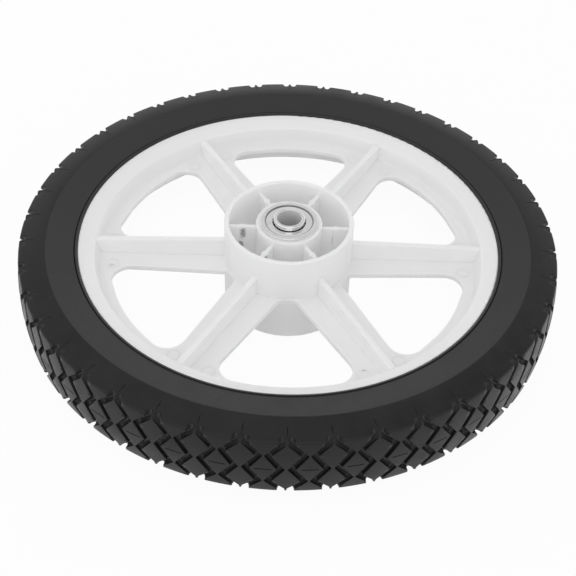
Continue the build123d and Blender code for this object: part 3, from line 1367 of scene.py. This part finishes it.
@dataclass(frozen=True)
class PhotoCamera:
    """The camera at the photograph's place and angle, in degrees, metres and picture widths."""

    elevation: float = 42.057
    distance: float = 0.7912
    target_height: float = 0.75 * MM
    heading: float = -0.7
    pitch: float = -1.532
    yaw: float = 0.057
    roll: float = -2.039
    sensor: float = 36.0
    focal_widths: float = 2.042

    def build(self) -> None:
        """Sets up the camera as the scene's own."""
        data = bpy.data.cameras.new("photo_camera")
        data.sensor_width = self.sensor
        data.lens = self.focal_widths * self.sensor
        camera = stand("photo_camera", data)
        lift = math.radians(self.elevation)
        place = Vector((0.0, -math.cos(lift), math.sin(lift))) * self.distance
        place.z += self.target_height
        turn = Matrix.Rotation(math.radians(self.heading), 4, "Z")
        tilt = Matrix.Rotation(math.radians(90 - self.elevation + self.pitch), 4, "X")
        swing = Matrix.Rotation(math.radians(-self.yaw), 4, "Y")
        lean = Matrix.Rotation(math.radians(-self.roll), 4, "Z")
        camera.matrix_world = turn @ Matrix.Translation(place) @ tilt @ swing @ lean
        bpy.context.scene.camera = camera


@dataclass(frozen=True)
class Lamp:
    """A soft square lamp that looks at the wheel.

    Args:
        name: Its name.
        place: Where it hangs.
        size: Its side.
        power: Its power in watts.
    """

    name: str
    place: Point
    size: float
    power: float

    def hang(self) -> None:
        """Adds the lamp to the scene."""
        data = bpy.data.lights.new(self.name, "AREA")
        data.size = self.size
        data.energy = self.power
        lamp = stand(self.name, data)
        lamp.location = self.place
        lamp.rotation_euler = (-Vector(self.place)).to_track_quat("-Z", "Y").to_euler()


@dataclass
class Studio:
    """Pale floor, soft lamps above and in front, and white walls all round.

    Args:
        floor_height: The height that the wheel rests on.
    """

    floor_height: float
    floor_reach: float = 6.0
    floor_white: float = 0.95
    floor_glow: float = 0.95
    horizon: float = 1.25
    zenith: float = 0.4
    bounces: int = 10
    lamps: tuple[Lamp, ...] = (
        Lamp("overhead_softbox", (-0.25, -0.1, 1.2), 1.3, 2.6),
        Lamp("front_fill", (0.0, -1.3, 1.0), 1.0, 1.2),
    )

    def build(self) -> None:
        """Sets up the floor, the lamps, the surround and the plain view of colours."""
        self.lay_floor()
        for lamp in self.lamps:
            lamp.hang()
        self.fill_surround()
        bpy.context.scene.view_settings.view_transform = "Standard"
        bpy.context.scene.cycles.diffuse_bounces = self.bounces

    def lay_floor(self) -> None:
        """Lays a white floor that keeps a faint shadow and reads as white behind the wheel."""
        reach = self.floor_reach
        corners = [(-reach, -reach), (reach, -reach), (reach, reach), (-reach, reach)]
        mesh = bpy.data.meshes.new("studio_floor")
        mesh.from_pydata([(x, y, self.floor_height) for x, y in corners], [], [(0, 1, 2, 3)])
        floor = stand("studio_floor", mesh)
        mesh.materials.append(self.floor_material())
        floor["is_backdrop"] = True

    def floor_material(self) -> bpy.types.Material:
        """Lays out the floor's white.

        Returns:
            The material.
        """
        material = bpy.data.materials.new("studio_floor")
        material.use_nodes = True
        graph = Graph(material.node_tree)
        graph.tree.nodes.clear()
        matt = graph.add("ShaderNodeBsdfDiffuse", {"Color": grey(self.floor_white)})
        glow = graph.add("ShaderNodeEmission", {"Color": grey(1.0), "Strength": 1.0})
        path = graph.add("ShaderNodeLightPath")
        mirrored = graph.maths(
            "MAXIMUM", path.outputs["Is Glossy Ray"], path.outputs["Is Transmission Ray"]
        )
        seen = graph.maths("MAXIMUM", path.outputs["Is Camera Ray"], mirrored)
        share = graph.maths("MULTIPLY", seen, self.floor_glow)
        mix = graph.add("ShaderNodeMixShader", {0: share, 1: matt.outputs[0], 2: glow.outputs[0]})
        graph.add("ShaderNodeOutputMaterial", {"Surface": mix.outputs[0]})
        return material

    def fill_surround(self) -> None:
        """Fills the surround with white walls under a dimmer ceiling."""
        world = bpy.data.worlds.new("white_surround")
        world.use_nodes = True
        graph = Graph(world.node_tree)
        graph.tree.nodes.clear()
        way = graph.add("ShaderNodeTexCoord").outputs["Generated"]
        rise = graph.add("ShaderNodeSeparateXYZ", {0: way}).outputs["Z"]
        strength = graph.add(
            "ShaderNodeMapRange", {"Value": rise, "To Min": self.horizon, "To Max": self.zenith}
        )
        walls = graph.add("ShaderNodeBackground", {"Color": grey(1.0), "Strength": strength.outputs[0]})
        graph.add("ShaderNodeOutputWorld", {"Surface": walls.outputs[0]})
        bpy.context.scene.world = world


def main() -> None:
    """Builds the wheel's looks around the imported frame."""
    logging.basicConfig(level=logging.INFO, format="%(message)s")
    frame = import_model()
    cad_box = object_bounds()
    nodes = frame["nodes"]
    effects = Effects()
    copies = ring_of_copies()
    tyre_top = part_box("tyre")[1]
    rim_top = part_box("spoked_wheel")[1]
    tyre = Tyre(outer_radius=max(tyre_top.x, tyre_top.y), half_width=tyre_top.z, rim_radius=rim_top.x)
    band = (tyre.rim_radius + tyre.ridge_width + tyre.bead_groove_width, tyre.corner_radius)
    tread_radius = tyre.edge_radius - tyre.scuff_depth
    rubber = RubberFinish().material(effects, band, tread_radius, tyre.edge_height(Face.UPPER))
    report(tyre.build(copies, rubber))
    moulding = SpokedWheel()
    plastic = PlasticFinish().material(effects, moulding.dark_marks)
    report(moulding.build(nodes["spoked_wheel"], copies, plastic))
    Bearings().build(nodes, effects)
    for node in nodes.values():
        report(node)
    PhotoCamera().build()
    Studio(floor_height=cad_box[0].z).build()


if __name__ == "__main__":
    main()
